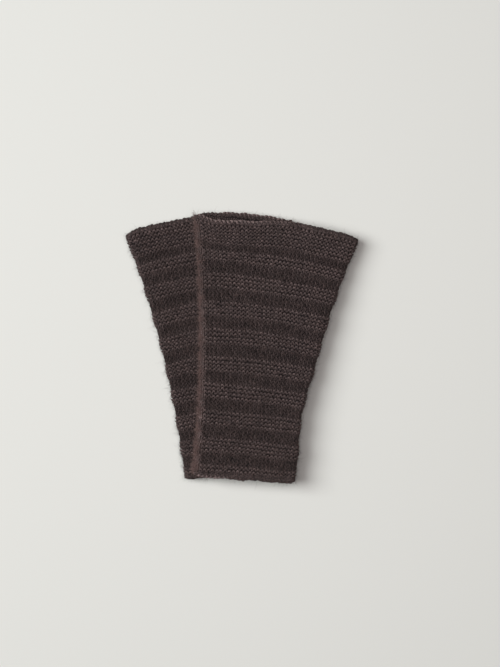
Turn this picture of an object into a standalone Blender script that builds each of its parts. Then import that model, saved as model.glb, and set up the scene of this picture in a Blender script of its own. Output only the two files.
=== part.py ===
"""A pair of knitted fingerless gloves, laid flat with the front glove fanned over the rear one.

Metres, +Z up, +Y towards the arm ends. Each glove is a flat-knitted panel folded into a flared tube and
sewn along one fold, so its section is a flattened loop: two straight layers and two half-round folds.
A point of a glove is given as (side, height, along): side is the distance across from its centre line,
negative towards the seam, height is measured from its middle plane, and along is the distance from the
hand end. place() turns that into the pair's own frame.
"""

import bmesh
import bpy
from math import cos, pi, radians, sin
from mathutils import Vector

# One glove
LENGTH = 0.219
HAND_WIDTH = 0.090
ARM_WIDTH = 0.1445
FABRIC = 0.0036
INNER_GAP = 0.0048
FOLD_RADIUS = (INNER_GAP + FABRIC) / 2  # of the fabric's middle, round each fold
THICKNESS = INNER_GAP + 2 * FABRIC

# Its pieces
TOUCH_GAP = 0.0003
EDGE_DEPTH = 0.004
SEAM_HALF_ANGLE = radians(38)
SLOT_HALF_ANGLE = radians(46)
SEAM_RIDGE = 0.0012
KNOT_RADIUS = 0.0015
TAIL_RADIUS = 0.0009
TAIL_LENGTH = 0.030
TAIL_FROM_FOLD = 0.0025

# The pair
REAR_HEIGHT = THICKNESS / 2
FRONT_HEIGHT = REAR_HEIGHT + THICKNESS + TOUCH_GAP
DROOP_FROM = 0.042  # just past the rear glove's seam fold; the front glove sinks from here
DROOP = 2.46  # metres of sinking per square metre past that line

# How finely the pieces are divided
ACROSS = 7
FOLD_STEPS = 6
ALONG = 16
RING_STEPS = 2
TAIL_SIDES = 8
TAIL_STEPS = 6


class Glove:
    """Where one glove lies: its hand-end centre, the way its length points and how much that way bends.

    arm_bow is how much further out its arm rim reaches at the middle than at the folds, and seam_drop how
    much lower still that rim lies towards the seam.
    """

    def __init__(self, name, hand_centre, lean, bend, arm_bow, seam_drop, height, mirrored, droops, colour):
        self.name = name
        self.hand_centre = hand_centre
        self.lean = lean
        self.bend = bend
        self.arm_bow = arm_bow
        self.seam_drop = seam_drop
        self.height = height
        self.mirrored = mirrored
        self.droops = droops
        self.colour = colour

    def place(self, side, height, along):
        share = along / LENGTH
        out = side / (width(along) / 2)
        to_seam = min(1.0, max(0.0, (-out - 0.2) / 0.5))
        bow = share * (self.arm_bow * out**2 + self.seam_drop * to_seam**2 * (3 - 2 * to_seam))
        chord = self.lean + self.bend * (share / 2 - 0.5)
        heading = self.lean + self.bend * (share - 0.5)
        x = self.hand_centre[0] + along * sin(chord) + side * cos(heading) - bow * sin(heading)
        y = self.hand_centre[1] + along * cos(chord) - side * sin(heading) - bow * cos(heading)
        x = -x if self.mirrored else x
        sunk = DROOP * max(0.0, x - DROOP_FROM) ** 2 if self.droops else 0.0
        return Vector((x, y, self.height + height - sunk))


def width(along):
    return HAND_WIDTH + (ARM_WIDTH - HAND_WIDTH) * (along / LENGTH) ** 2


def fold_centre(along):
    """How far the middle of each half-round fold is from the centre line."""
    return width(along) / 2 - THICKNESS / 2


def spread(first, last, steps):
    return [first + (last - first) * i / steps for i in range(steps + 1)]


def layer_points(along, radius, slot):
    """Points round the flattened loop at one radius, from the seam fold over the top layer and back.

    slot is the half angle left open at the seam fold; with none the loop is closed.
    """
    centre = fold_centre(along)
    seam_steps = 3
    upper = [(-centre + radius * cos(a), radius * sin(a)) for a in spread(pi - slot, pi / 2, seam_steps)]
    top = [(x, radius) for x in spread(-centre, centre, ACROSS)[1:]]
    outer = [(centre + radius * cos(a), radius * sin(a)) for a in spread(pi / 2, -pi / 2, FOLD_STEPS)[1:]]
    bottom = [(x, -radius) for x in spread(centre, -centre, ACROSS)[1:]]
    lower = [(-centre + radius * cos(a), radius * sin(a)) for a in spread(1.5 * pi, pi + slot, seam_steps)[1:]]
    loop = upper + top + outer + bottom + lower
    return loop if slot else loop[:-1]


def add_object(name, mesh_maker, colour, roughness, parent):
    """A named object with its own material, riding on its glove's empty."""
    shape = bmesh.new()
    mesh_maker(shape)
    bmesh.ops.recalc_face_normals(shape, faces=shape.faces)
    mesh = bpy.data.meshes.new(name)
    shape.to_mesh(mesh)
    shape.free()
    mesh.shade_smooth()
    mesh.set_sharp_from_angle(angle=radians(40))
    material = bpy.data.materials.new(name)
    material.use_nodes = True
    shader = material.node_tree.nodes["Principled BSDF"]
    shader.inputs["Base Color"].default_value = (*colour, 1.0)
    shader.inputs["Roughness"].default_value = roughness
    shader.inputs["Metallic"].default_value = 0.0
    mesh.materials.append(material)
    piece = bpy.data.objects.new(name, mesh)
    bpy.context.collection.objects.link(piece)
    piece.parent = parent
    return piece


def loft(shape, sections, closed):
    """Skins a list of point loops. closed joins each loop's last point to its first."""
    rows = [[shape.verts.new(p) for p in section] for section in sections]
    count = len(rows[0])
    for low, high in zip(rows, rows[1:]):
        for i in range(count if closed else count - 1):
            j = (i + 1) % count
            shape.faces.new((low[i], low[j], high[j], high[i]))
    return rows


def quad_strip(shape, line, other):
    for i in range(len(line) - 1):
        shape.faces.new((line[i], line[i + 1], other[i + 1], other[i]))


def fabric_shell(glove, start, end, steps, slot):
    """A wall of fabric from start to end along the glove, open at the seam fold if it has a slot."""

    def make(shape):
        stations = spread(start, end, steps)
        walls = []
        for radius in (FOLD_RADIUS + FABRIC / 2, FOLD_RADIUS - FABRIC / 2):
            sections = [[glove.place(x, z, a) for x, z in layer_points(a, radius, slot)] for a in stations]
            walls.append(loft(shape, sections, closed=not slot))
        outside, inside = walls
        for row in (0, -1):
            out_line, in_line = list(outside[row]), list(inside[row])
            if not slot:
                out_line.append(out_line[0])
                in_line.append(in_line[0])
            quad_strip(shape, out_line, in_line)
        if slot:
            for column in (0, -1):
                quad_strip(shape, [r[column] for r in outside], [r[column] for r in inside])

    return make


def seam_strip(glove, start, end):
    """The sewn fold: it fills the panel's slot and stands up inside as a small ridge."""

    def make(shape):
        angles = spread(pi - SEAM_HALF_ANGLE, pi + SEAM_HALF_ANGLE, 4)
        ridge = [0.0, SEAM_RIDGE / 2, SEAM_RIDGE, SEAM_RIDGE / 2, 0.0]
        outer_radius = FOLD_RADIUS + FABRIC / 2
        inner_radius = FOLD_RADIUS - FABRIC / 2
        sections = []
        for along in spread(start, end, ALONG):
            centre = fold_centre(along)
            section = [(-centre + outer_radius * cos(a), outer_radius * sin(a)) for a in angles]
            for a, rise in reversed(list(zip(angles, ridge))):
                reach = inner_radius - rise
                section.append((-centre + reach * cos(a), reach * sin(a)))
            sections.append([glove.place(x, z, along) for x, z in section])
        rows = loft(shape, sections, closed=True)
        half = len(angles)
        for row in (rows[0], rows[-1]):
            quad_strip(shape, row[:half], list(reversed(row[half:])))

    return make


def yarn_end(glove, start, end):
    """A short woven-in end of yarn, lying inside the glove beside the seam."""

    def make(shape):
        sections = []
        for along in spread(start, end, TAIL_STEPS):
            side = -fold_centre(along) + TAIL_FROM_FOLD
            height = TOUCH_GAP + TAIL_RADIUS - (FOLD_RADIUS - FABRIC / 2)
            ring = []
            for k in range(TAIL_SIDES):
                angle = 2 * pi * k / TAIL_SIDES
                x = side + TAIL_RADIUS * cos(angle)
                z = height + TAIL_RADIUS * sin(angle)
                ring.append(glove.place(x, z, along))
            sections.append(ring)
        rows = loft(shape, sections, closed=True)
        for row in (rows[0], rows[-1]):
            shape.faces.new(row)

    return make


def yarn_knot(glove, from_fold, height, along):
    """The seam yarn's fastening knot."""

    def make(shape):
        made = bmesh.ops.create_icosphere(shape, subdivisions=2, radius=KNOT_RADIUS)
        side = -fold_centre(along) + from_fold
        bmesh.ops.translate(shape, verts=made["verts"], vec=glove.place(side, height, along))

    return make


def build_glove(glove, knot_place):
    """All the pieces of one glove, on an empty that stands on the way the glove lifts."""
    root = bpy.data.objects.new(glove.name, None)
    bpy.context.collection.objects.link(root)
    start = EDGE_DEPTH + TOUCH_GAP
    end = LENGTH - EDGE_DEPTH - TOUCH_GAP
    pieces = {
        "sleeve": (fabric_shell(glove, start, end, ALONG, SLOT_HALF_ANGLE), 0.92),
        "side_seam": (seam_strip(glove, start, end), 0.88),
        "hand_edge": (fabric_shell(glove, 0.0, EDGE_DEPTH, RING_STEPS, 0.0), 0.90),
        "arm_edge": (fabric_shell(glove, LENGTH - EDGE_DEPTH, LENGTH, RING_STEPS, 0.0), 0.90),
        "seam_knot": (yarn_knot(glove, *knot_place), 0.85),
        "cast_on_tail": (yarn_end(glove, 0.006, 0.006 + TAIL_LENGTH), 0.85),
        "bind_off_tail": (yarn_end(glove, LENGTH - 0.018 - TAIL_LENGTH, LENGTH - 0.018), 0.85),
    }
    for name, (maker, roughness) in pieces.items():
        add_object(f"{glove.name}_{name}", maker, glove.colour, roughness, root)


for old in list(bpy.data.objects):
    bpy.data.objects.remove(old, do_unlink=True)

REAR = Glove(
    name="rear",
    hand_centre=(0.0060, -0.1053),
    lean=radians(6.3),
    bend=radians(0.3),
    arm_bow=0.0080,
    seam_drop=0.0034,
    height=REAR_HEIGHT,
    mirrored=True,
    droops=False,
    colour=(0.040, 0.031, 0.030),
)
FRONT = Glove(
    name="front",
    hand_centre=(0.0021, -0.1098),
    lean=radians(7.4),
    bend=radians(3.3),
    arm_bow=0.0045,
    seam_drop=0.0,
    height=FRONT_HEIGHT,
    mirrored=False,
    droops=True,
    colour=(0.042, 0.032, 0.031),
)

# The rear knot stands just past the arm rim at the seam; the front one is tucked inside the mouth.
build_glove(REAR, knot_place=(-0.0020, 0.0, LENGTH + TOUCH_GAP + KNOT_RADIUS))
build_glove(FRONT, knot_place=(0.0028, 0.0004, LENGTH - 0.010))
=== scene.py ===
"""Looks of the knitted fingerless gloves: yarn loops, sewn seams, edge chains and fuzz, on the CAD frame.

The CAD sleeves, seams, edges, knots and tails are plain solids. Here each glove is knitted again loop by loop
on the same flattened, flared tube, so every visible shape is yarn. Metres, +Z up, +Y towards the arm ends.

A place on a glove has three parts. around is the distance round the tube, from the seam fold's crest and over
the top layer first. along is the distance from the hand rim. lift is the height off the fabric's middle.
"""

import math

import bpy
import numpy as np
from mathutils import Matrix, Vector


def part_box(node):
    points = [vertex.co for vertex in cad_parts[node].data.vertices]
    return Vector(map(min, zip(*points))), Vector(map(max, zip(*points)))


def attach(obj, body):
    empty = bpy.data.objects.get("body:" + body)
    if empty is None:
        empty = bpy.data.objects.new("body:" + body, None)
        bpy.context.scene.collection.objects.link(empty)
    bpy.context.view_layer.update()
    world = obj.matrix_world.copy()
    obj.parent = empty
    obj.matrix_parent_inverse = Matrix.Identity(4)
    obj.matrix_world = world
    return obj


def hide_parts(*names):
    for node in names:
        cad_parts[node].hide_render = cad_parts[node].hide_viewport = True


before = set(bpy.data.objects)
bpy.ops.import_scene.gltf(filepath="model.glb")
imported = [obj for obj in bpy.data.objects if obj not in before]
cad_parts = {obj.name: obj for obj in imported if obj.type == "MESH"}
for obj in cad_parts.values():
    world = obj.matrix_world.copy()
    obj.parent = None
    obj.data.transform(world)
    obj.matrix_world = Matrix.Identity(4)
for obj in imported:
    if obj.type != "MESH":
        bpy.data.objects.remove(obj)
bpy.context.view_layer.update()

# The glove's shape, as the CAD has it
LENGTH = 0.219
HAND_WIDTH = 0.090
ARM_WIDTH = 0.1445
THICKNESS = 0.012
DROOP_FROM = 0.042  # a glove with a droop sinks beyond this x
SEAM_DROP_FROM = 0.2  # a seam drop starts this share of half the width from the middle
SEAM_DROP_SPAN = 0.5

# The pair. The first seven are the CAD's. The others are the knitting's own: what the outer fold is drawn in
# by all along and at its waist, what the hand rim lies back by there, how much sooner the top layer ends at
# the arm mouth, how far the seam's knot is drawn in to the rim, as a share, how light the wool is, and the
# seed of its random draws.
GLOVES = {
    "rear": {
        "hand_centre": (0.0060, -0.1053),
        "lean": math.radians(6.3),
        "bend": math.radians(0.3),
        "arm_bow": 0.0080,
        "seam_drop": 0.0034,
        "droop": 0.0,
        "mirror": -1.0,
        "outer_trim": 0.0,
        "waist": 0.0,
        "hand_trim": 0.0,
        "mouth_setback": 0.0,
        "knot_nearer": 0.62,
        "tone": 0.93,
        "seed": 11,
    },
    "front": {
        "hand_centre": (0.0021, -0.1098),
        "lean": math.radians(7.4),
        "bend": math.radians(3.3),
        "arm_bow": 0.0045,
        "seam_drop": 0.0,
        "droop": 2.46,
        "mirror": 1.0,
        "outer_trim": 0.0021,
        "waist": 0.0026,
        "hand_trim": 0.0020,
        "mouth_setback": 0.0060,
        "knot_nearer": 0.95,
        "tone": 1.0,
        "seed": 23,
    },
}

# Small shapes of the rims and folds
OUTER_CORNER = 0.0032  # how far the rims turn back at the outer fold
CORNER_POWERS = (13, 20)  # how tight the outer corners are, at the hand end and at the arm end
SEAM_CORNER = 0.0030  # how far the rims turn back at the seam
SEAM_CORNER_POWER = 10
ROUNDING_DEPTH = 0.020
HAND_TRIM_POWER = 3
HAND_PINCH = 0.0028  # how far the outer fold draws in at the hand rim
HAND_PINCH_DEPTH = 0.013
ARM_PINCH = 0.0024  # and at the arm rim
ARM_PINCH_DEPTH = 0.008
WAIST_AT = 0.28  # where along the glove the outer fold draws in most, as a share
WAIST_REACH = 0.22
MOUTH_DEPTH = 0.045  # how deep in the glove the arm mouth's setback starts
MOUTH_CURVE = 1.5
MOUTH_SEAM_SIDE = (-0.97, 0.25)  # where across the glove the setback starts, and over how much it grows
MOUTH_OUTER_SIDE = (0.28, 0.75)  # where it ends, and over how much it fades
TOP_SHARPNESS = 0.9  # how soon round a fold the top layer takes over
WANDER = 0.0005  # how far the rows wander
WANDER_WAVES = 6
WANDER_PITCH = 0.035
RIM_WAVER = 0.00038  # how unevenly the rims run
WAVER_WAVES = 7
WAVER_PITCH = 0.0058
WAVER_DEPTH = 0.010

# The knitting
ROW_BANDS = [3] + [3, 4] * 7 + [3, 3, 2, 6]  # rows in each welt from the hand end: purl, knit, purl, ...
WALE = 0.00345  # width of a stitch
EDGE_CHAIN = 0.0020  # height of the chain along each rim
YARN = 0.00070  # radius of the yarn
KNIT_YARN = 0.90  # a knit stitch's stretched yarn has this share of it
PURL_SPREAD = 0.10  # how far a loop's legs swing sideways, in stitch widths
KNIT_SPREAD = 0.33
LOOP_REACH = 0.76  # half a loop's height, in row heights
RIM_REACH = 0.50  # the same towards the rims, where the chain takes over
LOOP_DEPTH = 0.00068  # half the step between a loop's legs and its two tips, off the fabric
HEADS_PROUD = 0.35  # half of how far a purl stitch's head stands above its foot, in loop depths
FACING_SPAN = 1.2  # how gradually a loop turns over between its foot and its head
WELT_RELIEF = 0.00090  # how far purl welts stand up and knit bands lie down
FOLD_RELIEF = 0.65  # share of that relief left at the outer fold
FOLD_RELIEF_REACH = 0.012
LAYER_INSET = 0.00255  # from the outside of the welts to the middle of the fabric
FOLD = THICKNESS / 2 - LAYER_INSET  # radius of the fabric's middle round each fold
SEAM_GAP = 0.0012  # from the fold's crest to the panel's first stitch
SELVEDGE = 0.0042  # the plain knit columns along the seam reach this far from the crest
SELVEDGE_FADE = 0.0024
GROWTH_ROWS = 6  # rows over which an added stitch reaches full width
NEW_STITCH = 0.25  # an added stitch's first width, as a share
FROM_THE_START = -1000.0  # the row that stands for a stitch every row has
ADDING_STEP = 0.61803  # the golden ratio spreads the added stitches round the tube
POINTS_PER_STITCH = 16
TIP_CROWDING = 0.2  # how much closer a loop's points are at its tips
YARN_SIDES = 6
SECTION_ENDS = [17, 32, 45, 56, 66]  # the last row of each piece that the rows are kept in

# How unlike each other the loops are
SWAY = 0.045
REACH_SPREAD = 0.06
NUDGE = 0.06
ROW_NUDGE = 0.03
DEPTH_SPREAD = 0.12
TIP_PLUMPNESS = 0.06  # how much thicker the yarn is where it is near
YARN_UNEVENNESS = 0.04
UNEVEN_STEP = 0.25

# The sheet behind the loops, dark as painted shade between them
BACKING_COLUMNS = 160
BACKING_HALF = 0.00030
BACKING_LIFT = -0.00025
BACKING_RELIEF = 0.9
BACKING_MARGIN = 0.0004  # left free on each side of the seam's crest

# A rim's strands: how far in from the rim, half the swing along the glove and how far it stands off. A flat
# strand stands off evenly, and the lightened one is lighter near the seam on the upper layer.
CHAIN_STRANDS = [
    {"phase": 0.0, "inward": 0.00075, "swing": 0.00075, "stand": 0.00120, "flat": False, "lightened": True},
    {"phase": math.pi, "inward": 0.00130, "swing": 0.00040, "stand": 0.00080, "flat": False, "lightened": False},
    {"phase": math.pi, "inward": 0.00185, "swing": 0.00060, "stand": 0.00070, "flat": True, "lightened": False},
    {"phase": 0.0, "inward": 0.00290, "swing": 0.00070, "stand": 0.00085, "flat": True, "lightened": False},
]
CHAIN_SPREAD = 0.20
CHAIN_JITTER = 0.04
CHAIN_SWELL = 0.28
CHAIN_RELIEF = 0.8
CHAIN_PLUMPNESS = 0.30  # how much thicker a strand is at its turns towards the rim, and thinner away from it

# The seam: two ropes of seam allowance and the sewing yarn laced over them
LACE_PITCH = 0.0034  # between the sewing yarn's crossings of the seam
ROPE_POINTS = 600
ROPE_APART = 0.00085  # from the crest
ROPE_SWAY = 0.00045
ROPE_QUICK = 0.7  # how strong the rope's two ripples are
ROPE_SLOW = 0.6
ROPE_SLOW_PACE = 0.43
ROPE_LIFT = -0.00060
ROPE_RISE = 0.00035
ROPE_YARN = 0.95
ROPE_TONE = 0.9
LACE_POINTS = 1100
LACE_REACH = 0.0015
LACE_LIFT = 0.00010
LACE_RISE = 0.00075
LACE_YARN = 0.75

# Knots and woven-in tails
KNOT_POINTS = 96
KNOT_SIZE = 0.72  # of the CAD knot's
KNOT_DEPTH = 1.2
KNOT_YARN = 0.72
KNOT_SIDES = 8
STUB_POINTS = 24
STUB_END = 1.2  # as a share of the way from the knot to the seam's end, so the stub runs on past it
STUB_YARN = 0.8
TAIL_PARTS = 7  # the first and the last of this many parts of a CAD tail's points give its ends
TAIL_POINTS = 160
TAIL_TWIST = 0.0042  # length of a full twist
PLY_SWING = 0.00040
PLY_RADIUS = 0.00046
TAPER_FROM = 0.93
TAPER_SPAN = 0.07
TAPER = 0.75

# How light each place's wool is: painted light and shade, and the wool's own differences
# painted light on the raised purl welts and painted shade in the recessed knit bands
PURL_PAINTED_LIGHT = 1.25
KNIT_PAINTED_SHADE = 0.68
SELVEDGE_PAINTED_LIGHT = (2.25, 1.22)  # painted light on the seam fold, at the hand end and at the arm end
SEAM_BAND_PAINTED_SHADING = 0.13  # painted light on the seam beside a purl welt, and painted shade beside a knit band
CHAIN_TONE = 0.90
RIM_LIGHTENING_TONE = 2.00  # added to a rim's tone near the seam on the upper layer
RIM_LIGHTENING_REACH = (0.045, 0.100)  # how far from the seam that goes, at the hand rim and at the arm rim
RIM_LIGHTENING_FULL = 1.4  # above 1, the lightening is full for a while before it fades
STITCH_TONE = 0.12  # how much single stitches differ
HEAD_PAINTED_LIGHT = 0.18  # painted highlight on a purl stitch's raised head, and painted shade at its foot
LEG_TONE = 0.28  # how much lighter one of a knit stitch's legs is, and darker the other, as in twisted yarn
NEAR_PAINTED_LIGHT = 0.12  # painted light on a loop's near parts, and painted shade on its far parts

# Loose fibres
FUZZ_PER_PIECE = 12000
FUZZ_LENGTH = 0.0029  # mean length of a loose fibre
FUZZ_LENGTHS = (0.0007, 0.0052)  # the shortest and the longest
FUZZ_SHAPE = 3.0  # of the gamma distribution that the lengths come from
FUZZ_RADII = (0.000055, 0.000085)
FUZZ_SIDES = 3
FUZZ_RINGS = (0.0, 0.36, 0.70)  # where a fibre has a ring of points, as shares of its length
FUZZ_TAPER = 0.6
FUZZ_RISE = (0.20, 1.0)  # how steeply fibres leave the yarn
FUZZ_ROOT = 0.3  # fibres start this many yarn radii above the middle of a loop's near parts
FUZZ_OVERHANG = 0.0006  # fibres grow from this far past each rim
CURL = 0.45
MOST_CURL = 0.9
WRIGGLE = 0.04
SEAM_FUZZ = ((0.0048, 6500), (0.0030, 5000))  # the seam's brushed strips: reach from its crest, fibres
SEAM_FUZZ_LENGTH = 0.8  # of the other fibres' length
SEAM_FUZZ_POWER = 1.4  # the strips are thickest at the hand end
CLUMP_PITCHES = (0.0067, 0.0155)  # the strips' fibres lie in clumps this far apart
CLUMPING = 0.6
FLOOR_CLEARANCE = 0.0001

# Wool's finish
FIBRE_SCALE = 900.0
PATCH_SCALE = 60.0
PATCH_SHARE = 0.12
MOTTLING = (0.40, 0.60)  # the noise's values that give the dark and the light colour
PLY_PITCH = 0.0032
PLIES = 2
TWIST = 0.35  # how strongly the plies show in the bump, beside the fibres

# Floor and camera
FLOOR_HALF = 3.0
VIEW_CENTRE = (0.0060, 0.0129)
VIEW_HEIGHT = 0.560
LENS = 85.0
SENSOR = 36.0


# ---------------------------------------------------------------- the glove's surface


def width(along):
    return HAND_WIDTH + (ARM_WIDTH - HAND_WIDTH) * (along / LENGTH) ** 2


def smooth(x):
    x = np.clip(x, 0.0, 1.0)
    return x * x * (3 - 2 * x)


def near_hand(along, depth):
    """Falls from 1 at the hand rim to 0 that deep in the glove."""
    return smooth(1 - along / depth)


def near_arm(along, depth):
    """Falls from 1 at the arm rim to 0 that deep in the glove."""
    return smooth(1 - (LENGTH - along) / depth)


def near_outer_fold(across, along):
    """Rises to 1 at the outer fold. across runs from -1 at the seam to 1 there."""
    return np.clip(across, 0, 1) ** np.interp(along, [0, LENGTH], CORNER_POWERS)


def waves(rng, count, shortest):
    """A smooth random field of two coordinates in metres, mostly between -1 and 1."""
    angle = rng.uniform(0, 2 * math.pi, count)
    pitch = shortest * rng.uniform(1.0, 3.5, count)
    phase = rng.uniform(0, 2 * math.pi, count)
    turn = np.stack([np.cos(angle), np.sin(angle)]) * 2 * math.pi / pitch

    def field(a, b):
        total = np.zeros(np.broadcast(a, b).shape)
        for k in range(count):
            total = total + np.sin(a * turn[0, k] + b * turn[1, k] + phase[k])
        return total / math.sqrt(count)

    return field


class Surface:
    """One glove's fabric: turns arrays of around, along and lift into points of the frame."""

    def __init__(self, name):
        self.name = name
        self.shape = GLOVES[name]
        self.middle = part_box(f"{name}_sleeve")[1].z - THICKNESS / 2
        self.rng = np.random.default_rng(self.shape["seed"])
        self.wander = waves(self.rng, WANDER_WAVES, WANDER_PITCH)
        self.waver = waves(self.rng, WAVER_WAVES, WAVER_PITCH)

    def girth(self, along):
        return 4 * (width(along) / 2 - THICKNESS / 2) + 2 * math.pi * FOLD

    def section(self, around, along):
        """Side and height of the fabric's middle, and the same two parts of the direction off it."""
        flat = width(along) / 2 - THICKNESS / 2
        quarter = math.pi * FOLD / 2
        around = np.mod(around, self.girth(along))
        angle = np.empty_like(around)
        starts = [0, quarter, quarter + 2 * flat, 3 * quarter + 2 * flat, 3 * quarter + 4 * flat]
        first = around < starts[1]
        top = (around >= starts[1]) & (around < starts[2])
        outer = (around >= starts[2]) & (around < starts[3])
        under = (around >= starts[3]) & (around < starts[4])
        last = around >= starts[4]
        angle[first] = math.pi - around[first] / FOLD
        angle[top] = math.pi / 2
        angle[outer] = math.pi / 2 - (around - starts[2])[outer] / FOLD
        angle[under] = -math.pi / 2
        angle[last] = -math.pi / 2 - (around - starts[4])[last] / FOLD
        centre = np.where(outer, flat, -flat)
        centre = np.where(top, -flat + around - starts[1], centre)
        centre = np.where(under, flat - (around - starts[3]), centre)
        side = centre + FOLD * np.cos(angle)
        height = FOLD * np.sin(angle)
        return side, height, np.cos(angle), np.sin(angle)

    def mouth(self, along, across, height):
        """The share of the arm mouth's setback a point has: most at the rim, in the top layer's seam half."""
        seam_from, seam_span = MOUTH_SEAM_SIDE
        outer_end, outer_span = MOUTH_OUTER_SIDE
        edge = smooth((across - seam_from) / seam_span) * smooth((outer_end - across) / outer_span)
        on_top = smooth(0.5 + height / FOLD * TOP_SHARPNESS)
        return on_top * edge * near_arm(along, MOUTH_DEPTH) ** MOUTH_CURVE

    def bow(self, around, along, across, height):
        """How far a point lies towards the hand from where a straight row would have it."""
        shape = self.shape
        share = along / LENGTH
        to_seam = smooth((-across - SEAM_DROP_FROM) / SEAM_DROP_SPAN)
        bow = share * (shape["arm_bow"] * across**2 + shape["seam_drop"] * to_seam)
        corner = OUTER_CORNER * near_outer_fold(across, along)
        corner = corner + SEAM_CORNER * np.clip(-across, 0, 1) ** SEAM_CORNER_POWER
        bow = bow + corner * (near_arm(along, ROUNDING_DEPTH) - near_hand(along, ROUNDING_DEPTH))
        hand_trim = shape["hand_trim"] * np.clip(1 - share, 0, 1) ** HAND_TRIM_POWER
        bow = bow - hand_trim * (0.5 + 0.5 * across)
        bow = bow + shape["mouth_setback"] * self.mouth(along, across, height)
        bow = bow + WANDER * self.wander(around, along)
        rims = near_arm(along, WAVER_DEPTH) - near_hand(along, WAVER_DEPTH)
        return bow + RIM_WAVER * rims * self.waver(around, np.zeros_like(around))

    def drawn_in(self, along, across):
        """How far a point is drawn in from the outer fold."""
        pinch = HAND_PINCH * near_hand(along, HAND_PINCH_DEPTH)
        pinch = pinch + ARM_PINCH * near_arm(along, ARM_PINCH_DEPTH)
        waist = self.shape["waist"] * smooth(1 - np.abs(along / LENGTH - WAIST_AT) / WAIST_REACH)
        trim = (self.shape["outer_trim"] + waist) * np.clip(across, 0, 1) ** 2
        return pinch * near_outer_fold(across, along) + trim

    def place(self, around, along, lift):
        """The points at arrays of around, along and lift."""
        shape = self.shape
        side, height, off_side, off_height = self.section(around, along)
        across = side / (width(along) / 2)
        bow = self.bow(around, along, across, height)
        side = side + off_side * lift - self.drawn_in(along, across)
        share = along / LENGTH
        heading = shape["lean"] + shape["bend"] * (share - 0.5)
        chord = shape["lean"] + shape["bend"] * (share / 2 - 0.5)
        hand_x, hand_y = shape["hand_centre"]
        x = hand_x + along * np.sin(chord) + side * np.cos(heading) - bow * np.sin(heading)
        y = hand_y + along * np.cos(chord) - side * np.sin(heading) - bow * np.cos(heading)
        x = x * shape["mirror"]
        z = self.middle + height + off_height * lift
        z = z - shape["droop"] * np.maximum(0.0, x - DROOP_FROM) ** 2
        return np.stack([x, y, z], axis=-1)

    def normal(self, around, along):
        step = 0.0002
        return (self.place(around, along, step) - self.place(around, along, -step)) / (2 * step)


# ---------------------------------------------------------------- meshes


class Strand:
    """A length of yarn: its centre line, which way is off the fabric, its radius and how light it is."""

    def __init__(self, line, off, radius, tone=1.0):
        self.line = line
        self.off = off
        self.radius = np.broadcast_to(radius, (len(line),))
        self.tone = np.broadcast_to(tone, (len(line),))

    def rings(self, sides):
        """The points round the strand, a ring of them for each point of its line."""
        ahead = np.gradient(self.line, axis=0)
        ahead /= np.linalg.norm(ahead, axis=1, keepdims=True) + 1e-12
        out = self.off - (self.off * ahead).sum(1, keepdims=True) * ahead
        out /= np.linalg.norm(out, axis=1, keepdims=True) + 1e-12
        across = np.cross(ahead, out)
        turn = (np.arange(sides) * 2 * math.pi / sides)[None, :, None]
        ring = out[:, None, :] * np.cos(turn) + across[:, None, :] * np.sin(turn)
        return (self.line[:, None, :] + ring * self.radius[:, None, None]).reshape(-1, 3)


def yarn_mesh(strands, sides):
    """Tubes along open strands: points, faces, (along, round) texture places and each point's tone."""
    points, faces, uvs, tones = [], [], [], []
    base = 0
    k = np.arange(sides)[None, :]
    n = (k + 1) % sides
    for strand in strands:
        count = len(strand.line)
        points.append(strand.rings(sides))
        tones.append(np.repeat(strand.tone, sides))
        i = np.arange(count - 1)[:, None] * sides
        quads = np.stack([i + k, i + n, i + sides + n, i + sides + k], axis=-1).reshape(-1, 4)
        faces.append(quads + base)
        steps = np.linalg.norm(np.diff(strand.line, axis=0), axis=1)
        along = np.concatenate([[0], np.cumsum(steps)])[:, None]
        a0, a1, r0, r1 = np.broadcast_arrays(along[:-1], along[1:], k / sides, (k + 1) / sides)
        uvs.append(np.stack([a0, r0, a0, r1, a1, r1, a1, r0], axis=-1).reshape(-1, 2))
        faces.append(base + k[:, ::-1])
        faces.append(base + (count - 1) * sides + k)
        uvs.append(np.zeros((2 * sides, 2)))
        base += count * sides
    return np.concatenate(points), faces, np.concatenate(uvs), np.concatenate(tones)


def add_mesh(name, points, face_groups, material, uvs=None, tones=None):
    """An object from points and groups of equal-sided faces."""
    mesh = bpy.data.meshes.new(name)
    loops = np.concatenate([g.ravel() for g in face_groups]).astype(np.int32)
    sizes = np.concatenate([np.full(len(g), g.shape[1], np.int32) for g in face_groups])
    starts = np.concatenate([[0], np.cumsum(sizes)[:-1]]).astype(np.int32)
    mesh.vertices.add(len(points))
    mesh.vertices.foreach_set("co", points.astype(np.float32).ravel())
    mesh.loops.add(len(loops))
    mesh.loops.foreach_set("vertex_index", loops)
    mesh.polygons.add(len(sizes))
    mesh.polygons.foreach_set("loop_start", starts)
    mesh.update(calc_edges=True)
    if uvs is not None:
        layer = mesh.uv_layers.new(name="Yarn")
        layer.data.foreach_set("uv", uvs.astype(np.float32).ravel())
    if tones is not None:
        layer = mesh.attributes.new("Tone", "FLOAT", "POINT")
        layer.data.foreach_set("value", np.asarray(tones, np.float32))
    mesh.validate()
    mesh.shade_smooth()
    mesh.materials.append(material)
    piece = bpy.data.objects.new(name, mesh)
    bpy.context.scene.collection.objects.link(piece)
    return piece


def add_yarn(name, strands, material, sides=YARN_SIDES):
    """An object of yarn tubes."""
    points, faces, uvs, tones = yarn_mesh(strands, sides)
    return add_mesh(name, points, faces, material, uvs, tones)


# ---------------------------------------------------------------- rows and stitches


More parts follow.
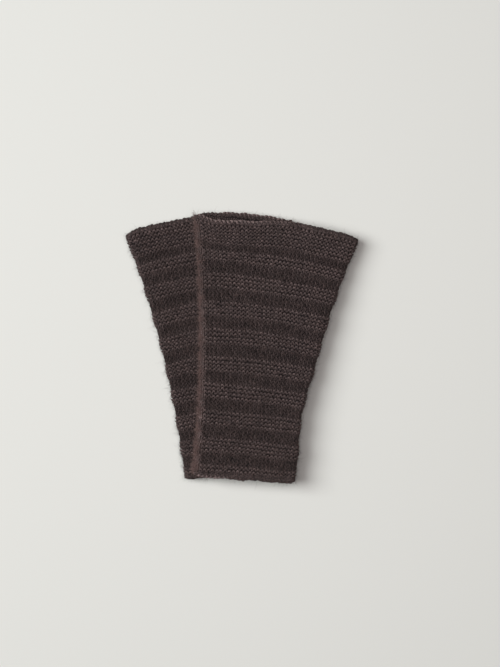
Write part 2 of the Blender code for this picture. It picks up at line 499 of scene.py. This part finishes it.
def row_plan():
    """For each row whether it is purl, where its middle lies and how far it stands up, and the rows' height."""
    purl = []
    for band, rows in enumerate(ROW_BANDS):
        purl += [band % 2 == 0] * rows
    height = (LENGTH - 2 * EDGE_CHAIN) / len(purl)
    middles = EDGE_CHAIN + height * (np.arange(len(purl)) + 0.5)
    padded = np.pad(np.where(purl, WELT_RELIEF, -WELT_RELIEF), 1, mode="edge")
    standing = 0.25 * padded[:-2] + 0.5 * padded[1:-1] + 0.25 * padded[2:]
    return purl, middles, standing, height


PURL, MIDDLES, STANDING, ROW_HEIGHT = row_plan()
LAST_ROW = len(PURL) - 1


def from_crest(surface, around, along):
    """Distance round the tube from the seam fold's crest."""
    around = np.mod(around, surface.girth(along))
    return np.minimum(around, surface.girth(along) - around)


def in_panel(surface, around, along):
    """Rises from 0 in the plain selvedge columns to 1 in the welted panel."""
    return smooth((from_crest(surface, around, along) - SELVEDGE) / SELVEDGE_FADE)


def relief(surface, around, along):
    """How far the welts stand up or lie down at a place.

    A row's relief stands where its foot passes through the row before it, half a row below its middle.
    """
    from_fold = surface.girth(along) / 2 - from_crest(surface, around, along)
    flatten = FOLD_RELIEF + (1 - FOLD_RELIEF) * smooth(from_fold / FOLD_RELIEF_REACH)
    standing = np.interp(along, MIDDLES - ROW_HEIGHT / 2, STANDING)
    return standing * flatten * in_panel(surface, around, along)


def seam_painted_light(along):
    """How light the seam is, as painted light on its fold: lighter towards the hand, and beside the purl welts.
    """
    band = np.interp(along, MIDDLES, STANDING) / WELT_RELIEF
    return np.interp(along, [0, LENGTH], SELVEDGE_PAINTED_LIGHT) * (1 + SEAM_BAND_PAINTED_SHADING * band)


def stitch_bounds(surface):
    """Where stitches meet, round the tube, on every row, and which stitches each row has.

    Stitches are added as the tube widens; one not added yet has no width.
    """
    wanted = [(surface.girth(middle) - 2 * SEAM_GAP) / WALE for middle in MIDDLES]
    total = int(round(wanted[-1]))
    first = int(round(wanted[0]))
    births = np.full(total, FROM_THE_START)
    order = np.argsort(np.mod(np.arange(total) * ADDING_STEP, 1.0))[: total - first]
    for k, wale in enumerate(order):
        births[wale] = np.interp(first + k + 0.5, wanted, np.arange(len(wanted))) - GROWTH_ROWS / 2
    bounds, live = [], []
    for row, middle in enumerate(MIDDLES):
        weight = smooth((row - births) / GROWTH_ROWS)
        weight[weight < NEW_STITCH] = 0.0
        ends = np.concatenate([[0], np.cumsum(weight)])
        span = surface.girth(middle) - 2 * SEAM_GAP
        bounds.append(SEAM_GAP + ends / ends[-1] * span)
        live.append(np.flatnonzero(weight))
    return np.array(bounds), live


def along_wales(bounds, row, places, rise):
    """Distances round the tube of places counted in stitches, rise rows above a row, along the columns."""
    index = np.arange(bounds.shape[1])
    here = np.interp(places, index, bounds[row])
    above = np.interp(places, index, bounds[min(row + 1, len(bounds) - 1)])
    below = np.interp(places, index, bounds[max(row - 1, 0)])
    return here + np.where(rise > 0, rise * (above - here), -rise * (below - here))


# ---------------------------------------------------------------- knitting

EVEN_TURNS = np.arange(POINTS_PER_STITCH) * 2 * math.pi / POINTS_PER_STITCH
LOOP_TURNS = EVEN_TURNS - TIP_CROWDING * np.sin(2 * EVEN_TURNS)  # from a loop's foot at 0, its head at pi
TO_HEAD = -np.cos(LOOP_TURNS)  # -1 at a loop's foot, 1 at its head


def uneven(rng, count, spread):
    """A column of random differences, one for each stitch."""
    return rng.normal(0, spread, (count, 1))


def rim_share(row):
    """The share of its reach that each point of a loop keeps: less where the row meets a rim."""
    at_rim = RIM_REACH / LOOP_REACH
    headward = at_rim if row == LAST_ROW else 1.0
    footward = at_rim if row == 0 else 1.0
    return np.where(TO_HEAD > 0, headward, footward)


def purl_facing(row):
    """How far each point of a row's loops faces as purl does.

    A loop's foot stands in front of the row before in a purl row and behind it in a knit row, and its head
    lies behind the next row if that one is knit and in front if it is purl.
    """
    foot = 1.0 if PURL[row] else 0.0
    head = 1.0 if PURL[min(row + 1, LAST_ROW)] else 0.0
    return foot + (head - foot) * smooth(0.5 + TO_HEAD / FACING_SPAN)


def loop_painted_shading_and_twist(surface, around, along, purled, nearness):
    """How light a row's wool is: painted shade in the knit bands, painted light on the purl welts and the seam
    fold, painted light and shade on each loop's near and far parts and on purl heads and feet, and the legs'
    twist.
    """
    count = len(around) // POINTS_PER_STITCH
    to_head = np.tile(TO_HEAD, count)
    legs = np.tile(np.sin(LOOP_TURNS), count)
    inside = in_panel(surface, around, along)
    # painted light on the purl welts and painted shade in the knit bands
    panel = KNIT_PAINTED_SHADE + (PURL_PAINTED_LIGHT - KNIT_PAINTED_SHADE) * purled
    tone = (panel * inside + seam_painted_light(along) * (1 - inside)) * (1 + NEAR_PAINTED_LIGHT * nearness)
    return tone * (1 + HEAD_PAINTED_LIGHT * to_head * purled + LEG_TONE * legs * (1 - purled) * inside)


def loop_radius(rng, purled, nearness):
    """A row's yarn: thinner in knit stitches, plumper where it is near, and uneven."""
    drift = np.sin(np.cumsum(rng.normal(0, UNEVEN_STEP, len(purled))))
    plumpness = 1 + TIP_PLUMPNESS * nearness + YARN_UNEVENNESS * drift
    return YARN * (KNIT_YARN + (1 - KNIT_YARN) * purled) * plumpness


def row_strand(surface, bounds, stitches, row):
    """One row's yarn: a loop for each stitch."""
    rng = surface.rng
    count = len(stitches)
    sway = uneven(rng, count, SWAY)
    reach = LOOP_REACH * (1 + uneven(rng, count, REACH_SPREAD)) * rim_share(row)
    nudge = uneven(rng, count, NUDGE) + rng.normal(0, ROW_NUDGE)
    depth = 1 + uneven(rng, count, DEPTH_SPREAD)
    shade = np.repeat(1 + rng.normal(0, STITCH_TONE, count), POINTS_PER_STITCH)
    facing = purl_facing(row)
    spread = KNIT_SPREAD + (PURL_SPREAD - KNIT_SPREAD) * facing
    turns = LOOP_TURNS / (2 * math.pi) + spread * np.sin(2 * LOOP_TURNS)
    places = (stitches[:, None] + turns + sway).ravel()
    rise = (nudge + reach * TO_HEAD).ravel()
    around = along_wales(bounds, row, places, rise)
    along = MIDDLES[row] + rise * ROW_HEIGHT
    purled = np.tile(facing, count) * np.round(in_panel(surface, around, along))
    nearness = (depth * np.cos(2 * LOOP_TURNS)).ravel() * (2 * purled - 1)
    proud = HEADS_PROUD * np.tile(TO_HEAD, count) * purled
    lift = (nearness + proud) * LOOP_DEPTH + relief(surface, around, along)
    tone = loop_painted_shading_and_twist(surface, around, along, purled, nearness) * shade * surface.shape["tone"]
    radius = loop_radius(rng, purled, nearness)
    return Strand(surface.place(around, along, lift), surface.normal(around, along), radius, tone)


def knit(surface, bounds, live, materials):
    """The sleeve's rows of loops, kept in a few pieces along the glove."""
    strands = []
    for row, stitches in enumerate(live):
        strands.append(row_strand(surface, bounds, stitches, row))
    pieces = []
    start = 0
    for number, end in enumerate(SECTION_ENDS, start=1):
        name = f"{surface.name}_knit_rows_{number}"
        pieces.append(add_yarn(name, strands[start:end], materials["wool"]))
        start = end
    return pieces


def closed_sheet(outer, inner):
    """Points and faces of the thin closed sheet between two grids of points of the same size."""
    rows, columns = outer.shape[:2]
    points = np.concatenate([outer.reshape(-1, 3), inner.reshape(-1, 3)])
    under = rows * columns
    i = np.arange(rows - 1)[:, None] * columns
    k = np.arange(columns - 1)[None, :]
    over = np.stack([i + k, i + columns + k, i + columns + k + 1, i + k + 1], -1).reshape(-1, 4)
    k = np.arange(columns - 1)
    last = (rows - 1) * columns
    low_rim = np.stack([k, k + 1, under + k + 1, under + k], -1)
    high_rim = np.stack([last + k + 1, last + k, under + last + k, under + last + k + 1], -1)
    i = np.arange(rows - 1) * columns
    left_rim = np.stack([i + columns, i, under + i, under + i + columns], -1)
    right = i + columns - 1
    right_rim = np.stack([right, right + columns, under + right + columns, under + right], -1)
    return points, [over, over[:, ::-1] + under, low_rim, high_rim, left_rim, right_rim]


def backing_grid(surface, level):
    """One face of the dark sheet behind the loops, that far off the fabric's middle."""
    grid = []
    for row in np.linspace(EDGE_CHAIN * 0.5, LENGTH - EDGE_CHAIN * 0.5, 2 * len(MIDDLES)):
        around = np.linspace(BACKING_MARGIN, surface.girth(row) - BACKING_MARGIN, BACKING_COLUMNS)
        along = np.full(BACKING_COLUMNS, row)
        lift = relief(surface, around, along) * BACKING_RELIEF + level
        grid.append(surface.place(around, along, lift))
    return np.array(grid)


def backing(surface, materials):
    """The yarn behind the loops, dark as painted shade: one thin closed sheet of fabric from seam to seam."""
    outer = backing_grid(surface, BACKING_LIFT + BACKING_HALF)
    inner = backing_grid(surface, BACKING_LIFT - BACKING_HALF)
    points, faces = closed_sheet(outer, inner)
    if surface.shape["mirror"] < 0:
        faces = [f[:, ::-1] for f in faces]
    return add_mesh(f"{surface.name}_backing", points, faces, materials["gap_shade"])


# ---------------------------------------------------------------- rims and seam


def rim_lightening(surface, around, along):
    """How much lighter a rim's chain is: on the layer that faces up, from the seam on."""
    over = np.mod(around, surface.girth(along)) < surface.girth(along) / 2
    reach = np.interp(along, [0, LENGTH], RIM_LIGHTENING_REACH)
    share = 1 - from_crest(surface, around, along) / reach
    return smooth(RIM_LIGHTENING_FULL * share) * np.where(over, 1.0, 0.0)


def chain_strand(surface, bounds, stitches, at_arm, form):
    """One strand of a rim's chain, which winds once a stitch."""
    rng = surface.rng
    count = len(stitches)
    turn = EVEN_TURNS + form["phase"]
    turns = EVEN_TURNS / (2 * math.pi) + CHAIN_SPREAD * np.sin(2 * EVEN_TURNS)
    places = (stitches[:, None] + turns + uneven(rng, count, CHAIN_JITTER)).ravel()
    around = np.interp(places, np.arange(bounds.shape[1]), bounds[-1 if at_arm else 0])
    swell = 1 + uneven(rng, count, CHAIN_SWELL)
    from_rim = (form["inward"] - form["swing"] * swell * np.cos(turn)).ravel()
    along = LENGTH - from_rim if at_arm else from_rim
    stand = 1.0 if form["flat"] else np.tile(np.sin(turn), count)
    lift = form["stand"] * stand + CHAIN_RELIEF * relief(surface, around, along)
    tone = np.repeat(1 + rng.normal(0, STITCH_TONE, count), POINTS_PER_STITCH)
    lightened = RIM_LIGHTENING_TONE * rim_lightening(surface, around, along) if form["lightened"] else 0.0
    radius = YARN * (1.0 + CHAIN_PLUMPNESS * np.tile(np.cos(turn), count))
    line = surface.place(around, along, lift)
    return Strand(line, surface.normal(around, along), radius, tone * (CHAIN_TONE + lightened))


def edge_chain(surface, label, bounds, live, materials):
    """A rim's chain: one strand loops over the rim, one winds behind it and two lie flat further in."""
    at_arm = label == "arm_edge"
    stitches = live[-1 if at_arm else 0]
    strands = [chain_strand(surface, bounds, stitches, at_arm, form) for form in CHAIN_STRANDS]
    return add_yarn(f"{surface.name}_{label}_chain", strands, materials["wool"])


def seam_rope(surface, low, high, sign):
    """The seam allowance on one side of the crest, as a wandering rope."""
    along = np.linspace(low, high, ROPE_POINTS)
    turn = along * 2 * math.pi / LACE_PITCH + sign
    ripple = ROPE_QUICK * np.sin(turn) + ROPE_SLOW * np.sin(ROPE_SLOW_PACE * turn + sign)
    around = np.mod(sign * (ROPE_APART + ROPE_SWAY * ripple), surface.girth(along))
    line = surface.place(around, along, ROPE_LIFT + ROPE_RISE * ripple)
    return Strand(line, surface.normal(around, along), YARN * ROPE_YARN, ROPE_TONE * seam_painted_light(along))


def lacing(surface, low, high):
    """The sewing yarn, over and under from side to side of the crest."""
    along = np.linspace(low, high, LACE_POINTS)
    turn = along * 2 * math.pi / LACE_PITCH
    around = np.mod(LACE_REACH * np.cos(turn), surface.girth(along))
    line = surface.place(around, along, LACE_LIFT + LACE_RISE * np.sin(turn))
    return Strand(line, surface.normal(around, along), YARN * LACE_YARN, seam_painted_light(along))


def seam_stitches(surface, materials):
    """The sewn fold between the two selvedge columns."""
    low = EDGE_CHAIN * 0.5
    high = LENGTH - EDGE_CHAIN * 0.5
    strands = [seam_rope(surface, low, high, sign) for sign in (-1, 1)]
    strands.append(lacing(surface, low, high))
    return add_yarn(f"{surface.name}_seam_stitches", strands, materials["seam"])


# ---------------------------------------------------------------- knots and tails


def trefoil():
    """The closed curve of an overhand knot, about one unit in radius."""
    t = np.linspace(0, 2 * math.pi, KNOT_POINTS)
    x = np.sin(t) + 2 * np.sin(2 * t)
    y = np.cos(t) - 2 * np.cos(2 * t)
    z = -KNOT_DEPTH * np.sin(3 * t)
    return np.stack([x, y, z], -1) / 3.0


def seam_end_knot(surface, materials):
    """The sewing yarn's end: it leaves the seam at the arm rim and closes in a small overhand knot."""
    node = f"{surface.name}_seam_knot"
    low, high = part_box(node)
    centre = np.array((low + high) / 2)
    size = (high.x - low.x) / 2
    crest = surface.place(np.array([0.0]), np.array([LENGTH - EDGE_CHAIN * 0.5]), np.array([0.0]))[0]
    centre = centre + (crest - centre) * surface.shape["knot_nearer"]
    coil = trefoil() * size * KNOT_SIZE + centre
    stub = centre + (crest - centre) * np.linspace(0, STUB_END, STUB_POINTS)[:, None]
    up = np.broadcast_to(np.array([0.0, 0.0, 1.0]), stub.shape)
    strands = [Strand(coil, coil - centre, YARN * KNOT_YARN), Strand(stub, up, YARN * STUB_YARN)]
    return add_yarn(f"{node}_yarn", strands, materials["seam"], KNOT_SIDES)


def woven_tail(node, materials):
    """A woven-in yarn end: two plies twisted along the CAD tail, from end to end of it."""
    places = np.array([v.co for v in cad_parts[node].data.vertices])
    order = np.argsort(places[:, 1])
    part = len(order) // TAIL_PARTS
    first = places[order[:part]].mean(0)
    last = places[order[-part:]].mean(0)
    share = np.linspace(0, 1, TAIL_POINTS)
    core = first + (last - first) * share[:, None]
    twist = share * np.linalg.norm(last - first) / TAIL_TWIST * 2 * math.pi
    up = np.broadcast_to(np.array([0.0, 0.0, 1.0]), core.shape)
    radius = PLY_RADIUS * (1 - TAPER * smooth((share - TAPER_FROM) / TAPER_SPAN))
    strands = []
    for ply in (0, math.pi):
        swing = np.stack([np.cos(twist + ply), np.zeros_like(share), np.sin(twist + ply)], -1)
        strands.append(Strand(core + swing * PLY_SWING, up, radius))
    return add_yarn(f"{node}_yarn", strands, materials["wool"])


# ---------------------------------------------------------------- fuzz


def fibre_roots(surface, count, reach):
    """Where fibres leave the yarn, and the directions there: off the fabric, along it and across it."""
    rng = surface.rng
    if reach is None:
        along = rng.uniform(-FUZZ_OVERHANG, LENGTH + FUZZ_OVERHANG, count)
        around = rng.uniform(0, 1, count) * surface.girth(along)
    else:
        along = LENGTH * rng.uniform(0, 1, count) ** SEAM_FUZZ_POWER
        for pitch in CLUMP_PITCHES:
            along = along + CLUMPING * pitch / (2 * math.pi) * np.sin(along * 2 * math.pi / pitch)
        along = np.clip(along, 0, LENGTH)
        around = rng.uniform(-reach, reach, count)
    lift = relief(surface, around, along) + LOOP_DEPTH + YARN * FUZZ_ROOT
    root = surface.place(around, along, lift)
    off = surface.normal(around, along)
    step = 0.0004
    ahead = surface.place(around, along + step, lift) - root
    ahead /= np.linalg.norm(ahead, axis=1, keepdims=True)
    return root, off, ahead, np.cross(off, ahead)


def fibre_points(root, heading, curl, wriggle, length, radius):
    """For each fibre its rings of points and its tip: it bends by curl and wriggle and tapers to a point."""
    a = np.cross(heading, curl)
    a /= np.linalg.norm(a, axis=1, keepdims=True)
    b = np.cross(heading, a)
    turn = (np.arange(FUZZ_SIDES) * 2 * math.pi / FUZZ_SIDES)[None, :, None]
    around = a[:, None] * np.cos(turn) + b[:, None] * np.sin(turn)
    rings = []
    for part in FUZZ_RINGS:
        centre = root + length * (heading * part + curl * part**2 + wriggle * math.sin(2 * math.pi * part))
        rings.append(centre[:, None] + around * radius[:, None] * (1 - FUZZ_TAPER * part))
    tip = root + length * (heading + curl)
    block = np.concatenate([*rings, tip[:, None]], axis=1)
    block[:, :, 2] = np.maximum(block[:, :, 2], FLOOR_CLEARANCE)
    return block


def fibre_faces(count, points_each):
    """The faces of that many fibres: two bands of quads, the tip's triangles and the root's cap."""
    base = np.arange(count)[:, None] * points_each
    k = np.arange(FUZZ_SIDES)
    n = (k + 1) % FUZZ_SIDES
    low = np.stack([k, n, n + FUZZ_SIDES, k + FUZZ_SIDES], -1)
    end = 2 * FUZZ_SIDES
    tips = np.stack([k + end, n + end, np.full(FUZZ_SIDES, end + FUZZ_SIDES)], -1)
    root_cap = k[None, ::-1]
    groups = (low, low + FUZZ_SIDES, tips, root_cap)
    return [(base[:, None] + group[None]).reshape(-1, group.shape[1]) for group in groups]


def fuzz(surface, label, count, length, reach, material):
    """Loose wool fibres standing off the loops.

    reach keeps them to a strip that far either side of the seam's crest; None lets them grow all over.
    """
    rng = surface.rng
    root, off, ahead, across = fibre_roots(surface, count, reach)
    lean = rng.uniform(0, 2 * math.pi, (count, 1))
    heading = off * rng.uniform(*FUZZ_RISE, (count, 1)) + ahead * np.cos(lean) + across * np.sin(lean)
    heading /= np.linalg.norm(heading, axis=1, keepdims=True)
    curl = np.clip(rng.normal(0, CURL, (count, 3)), -MOST_CURL, MOST_CURL)
    wriggle = rng.normal(0, WRIGGLE, (count, 3))
    lengths = np.clip(rng.gamma(FUZZ_SHAPE, length / FUZZ_SHAPE, (count, 1)), *FUZZ_LENGTHS)
    radius = rng.uniform(*FUZZ_RADII, (count, 1))
    block = fibre_points(root, heading, curl, wriggle, lengths, radius)
    faces = fibre_faces(count, block.shape[1])
    return add_mesh(f"{surface.name}_{label}", block.reshape(-1, 3), faces, material)


def all_fuzz(surface, materials):
    """A glove's fibres: three shades all over it, and the brushed strips along its seam, whose light colour is
    painted light on the fold.
    """
    hairs = []
    for shade in ("dark", "brown", "rosy"):
        hairs.append(fuzz(surface, f"{shade}_fuzz", FUZZ_PER_PIECE, FUZZ_LENGTH, None, materials[shade]))
    for number, (reach, count) in enumerate(SEAM_FUZZ, start=1):
        label = f"seam_fuzz_{number}"
        hairs.append(fuzz(surface, label, count, FUZZ_LENGTH * SEAM_FUZZ_LENGTH, reach, materials["lightened"]))
    return hairs


# ---------------------------------------------------------------- materials


def shader_of(name):
    material = bpy.data.materials.new(name)
    material.use_nodes = True
    tree = material.node_tree
    return material, tree, tree.nodes["Principled BSDF"]


def set_values(node, values):
    for socket, value in values.items():
        node.inputs[socket].default_value = value


def noise(tree, values):
    """A noise texture in the glove's own space."""
    places = tree.nodes.new("ShaderNodeTexCoord")
    texture = tree.nodes.new("ShaderNodeTexNoise")
    set_values(texture, values)
    tree.links.new(places.outputs["Object"], texture.inputs["Vector"])
    return texture.outputs["Fac"]


def maths(tree, operation, *terms):
    """The result of an operation on sockets and numbers."""
    node = tree.nodes.new("ShaderNodeMath")
    node.operation = operation
    for socket, term in zip(node.inputs, terms):
        if isinstance(term, float):
            socket.default_value = term
        else:
            tree.links.new(term, socket)
    return node.outputs[0]


def blended(tree, amount, dark, light, ends=(0.0, 1.0)):
    """A colour that goes from dark to light as the amount goes from end to end."""
    ramp = tree.nodes.new("ShaderNodeValToRGB")
    for element, position, colour in zip(ramp.color_ramp.elements, ends, (dark, light)):
        element.position = position
        element.color = (*colour, 1)
    tree.links.new(amount, ramp.inputs["Fac"])
    return ramp.outputs["Color"]


def toned(tree, colour):
    """The colour, lighter or darker by each point's tone, which carries painted light and shade as well as the
    stitches' own differences.
    """
    tone = tree.nodes.new("ShaderNodeAttribute")
    tone.attribute_name = "Tone"
    product = tree.nodes.new("ShaderNodeVectorMath")
    product.operation = "SCALE"
    tree.links.new(colour, product.inputs[0])
    tree.links.new(tone.outputs["Fac"], product.inputs["Scale"])
    return product.outputs[0]


def twist_height(tree, fibres):
    """Plies winding round the yarn, roughened by the fibre noise."""
    places = tree.nodes.new("ShaderNodeUVMap")
    places.uv_map = "Yarn"
    apart = tree.nodes.new("ShaderNodeSeparateXYZ")
    tree.links.new(places.outputs["UV"], apart.inputs[0])
    winding = maths(tree, "MULTIPLY_ADD", apart.outputs["X"], 1 / PLY_PITCH, apart.outputs["Y"])
    wave = maths(tree, "SINE", maths(tree, "MULTIPLY", winding, PLIES * 2 * math.pi))
    return maths(tree, "MULTIPLY_ADD", wave, TWIST, fibres)


def wool(name, dark, light, sheen):
    """Brushed wool yarn: mottled fibres, a twist along the yarn and a soft sheen."""
    material, tree, shader = shader_of(name)
    fibres = noise(tree, {"Scale": FIBRE_SCALE, "Detail": 3.0, "Roughness": 0.65})
    patches = noise(tree, {"Scale": PATCH_SCALE, "Detail": 2.0})
    fine = maths(tree, "MULTIPLY", fibres, 1 - PATCH_SHARE)
    mottle = maths(tree, "MULTIPLY_ADD", patches, PATCH_SHARE, fine)
    colour = toned(tree, blended(tree, mottle, dark, light, MOTTLING))
    tree.links.new(colour, shader.inputs["Base Color"])
    set_values(shader, {"Roughness": 0.95, "Specular IOR Level": 0.15})
    set_values(shader, {"Sheen Weight": sheen, "Sheen Roughness": 0.55, "Sheen Tint": (0.62, 0.42, 0.38, 1)})
    bump = tree.nodes.new("ShaderNodeBump")
    set_values(bump, {"Strength": 0.6, "Distance": 0.00025})
    tree.links.new(twist_height(tree, fibres), bump.inputs["Height"])
    tree.links.new(bump.outputs["Normal"], shader.inputs["Normal"])
    return material


def gap_shade(name, colour):
    """Painted shade: the dark wool colour seen between loops."""
    material, tree, shader = shader_of(name)
    dark = [c * 0.6 for c in colour]
    light = [c * 1.3 for c in colour]
    shown = blended(tree, noise(tree, {"Scale": FIBRE_SCALE}), dark, light)
    tree.links.new(shown, shader.inputs["Base Color"])
    set_values(shader, {"Roughness": 1.0, "Specular IOR Level": 0.05})
    return material


def plain(name, colour, roughness, gloss):
    """One even colour."""
    material, tree, shader = shader_of(name)
    set_values(shader, {"Base Color": (*colour, 1), "Roughness": roughness, "Specular IOR Level": gloss})
    return material


def wool_fibre(name, colour):
    return plain(name, colour, roughness=0.8, gloss=0.2)


def make_materials():
    return {
        "wool": wool("brown_wool", (0.031, 0.0250, 0.0247), (0.093, 0.0653, 0.0623), 0.10),
        "seam": wool("seam_wool", (0.030, 0.022, 0.021), (0.096, 0.068, 0.064), 0.15),
        # the sheet between the loops is dark as painted shade
        "gap_shade": gap_shade("gap_shade_wool", (0.016, 0.0128, 0.0128)),
        "dark": wool_fibre("dark_fibres", (0.045, 0.033, 0.032)),
        "brown": wool_fibre("brown_fibres", (0.085, 0.058, 0.054)),
        "rosy": wool_fibre("rosy_fibres", (0.170, 0.112, 0.102)),
        # the seam strips' fibres are lighter as painted light on the seam fold
        "lightened": wool_fibre("seam_painted_light_fibres", (0.215, 0.138, 0.126)),
    }


# ---------------------------------------------------------------- the pair


def build_glove(name, materials):
    surface = Surface(name)
    body = f"{name}_glove"
    bounds, live = stitch_bounds(surface)
    knits = knit(surface, bounds, live, materials)
    cloth = backing(surface, materials)
    hand = edge_chain(surface, "hand_edge", bounds, live, materials)
    arm = edge_chain(surface, "arm_edge", bounds, live, materials)
    seam = seam_stitches(surface, materials)
    knot = seam_end_knot(surface, materials)
    low_tail = woven_tail(f"{name}_cast_on_tail", materials)
    high_tail = woven_tail(f"{name}_bind_off_tail", materials)
    hairs = all_fuzz(surface, materials)
    everything = [*knits, cloth, hand, arm, seam, knot, low_tail, high_tail, *hairs]
    for piece in everything:
        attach(piece, body)
    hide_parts(f"{name}_sleeve")
    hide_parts(f"{name}_side_seam")
    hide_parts(f"{name}_hand_edge")
    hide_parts(f"{name}_arm_edge")
    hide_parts(f"{name}_seam_knot")
    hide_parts(f"{name}_cast_on_tail")
    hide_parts(f"{name}_bind_off_tail")


# ---------------------------------------------------------------- floor, light and camera


def add_floor():
    """A wide pale sheet under the gloves."""
    mesh = bpy.data.meshes.new("floor")
    corners = [(-1, -1), (1, -1), (1, 1), (-1, 1)]
    mesh.from_pydata([(x * FLOOR_HALF, y * FLOOR_HALF, 0) for x, y in corners], [], [(0, 1, 2, 3)])
    mesh.materials.append(plain("pale_floor", (0.745, 0.735, 0.700), roughness=0.9, gloss=0.1))
    floor = bpy.data.objects.new("floor", mesh)
    bpy.context.scene.collection.objects.link(floor)


def add_light(name, place, aim, energy, colour, size):
    """An oval area light."""
    data = bpy.data.lights.new(name, "AREA")
    data.energy = energy
    data.color = colour
    data.shape = "ELLIPSE"
    data.size, data.size_y = size
    lamp = bpy.data.objects.new(name, data)
    bpy.context.scene.collection.objects.link(lamp)
    lamp.location = place
    lamp.rotation_euler = (Vector(aim) - Vector(place)).to_track_quat("-Z", "Y").to_euler()


def add_lights():
    """A big soft key from the left, a warmer soft pool from overhead and a trace of light from all round."""
    add_light("key", (-2.03, 0.44, 2.56), (0, 0, 0), energy=107.5, colour=(0.967, 1.0, 1.0), size=(1.7, 2.6))
    pool = (0.10, 0.10)
    add_light("overhead", (*pool, 1.40), (*pool, 0), energy=6.6, colour=(1.0, 0.946, 0.948), size=(0.9, 0.9))
    world = bpy.data.worlds.new("studio")
    world.use_nodes = True
    set_values(world.node_tree.nodes["Background"], {"Color": (1.0, 0.937, 0.929, 1), "Strength": 0.035})
    bpy.context.scene.world = world


def add_camera():
    """Straight above the pair."""
    data = bpy.data.cameras.new("camera")
    data.lens = LENS
    data.sensor_width = SENSOR
    camera = bpy.data.objects.new("camera", data)
    bpy.context.scene.collection.objects.link(camera)
    camera.location = (*VIEW_CENTRE, VIEW_HEIGHT * LENS / SENSOR + THICKNESS)
    bpy.context.scene.camera = camera


add_camera()
MATERIALS = make_materials()
for glove in GLOVES:
    build_glove(glove, MATERIALS)
add_floor()
add_lights()
bpy.context.scene.view_settings.view_transform = "Standard"
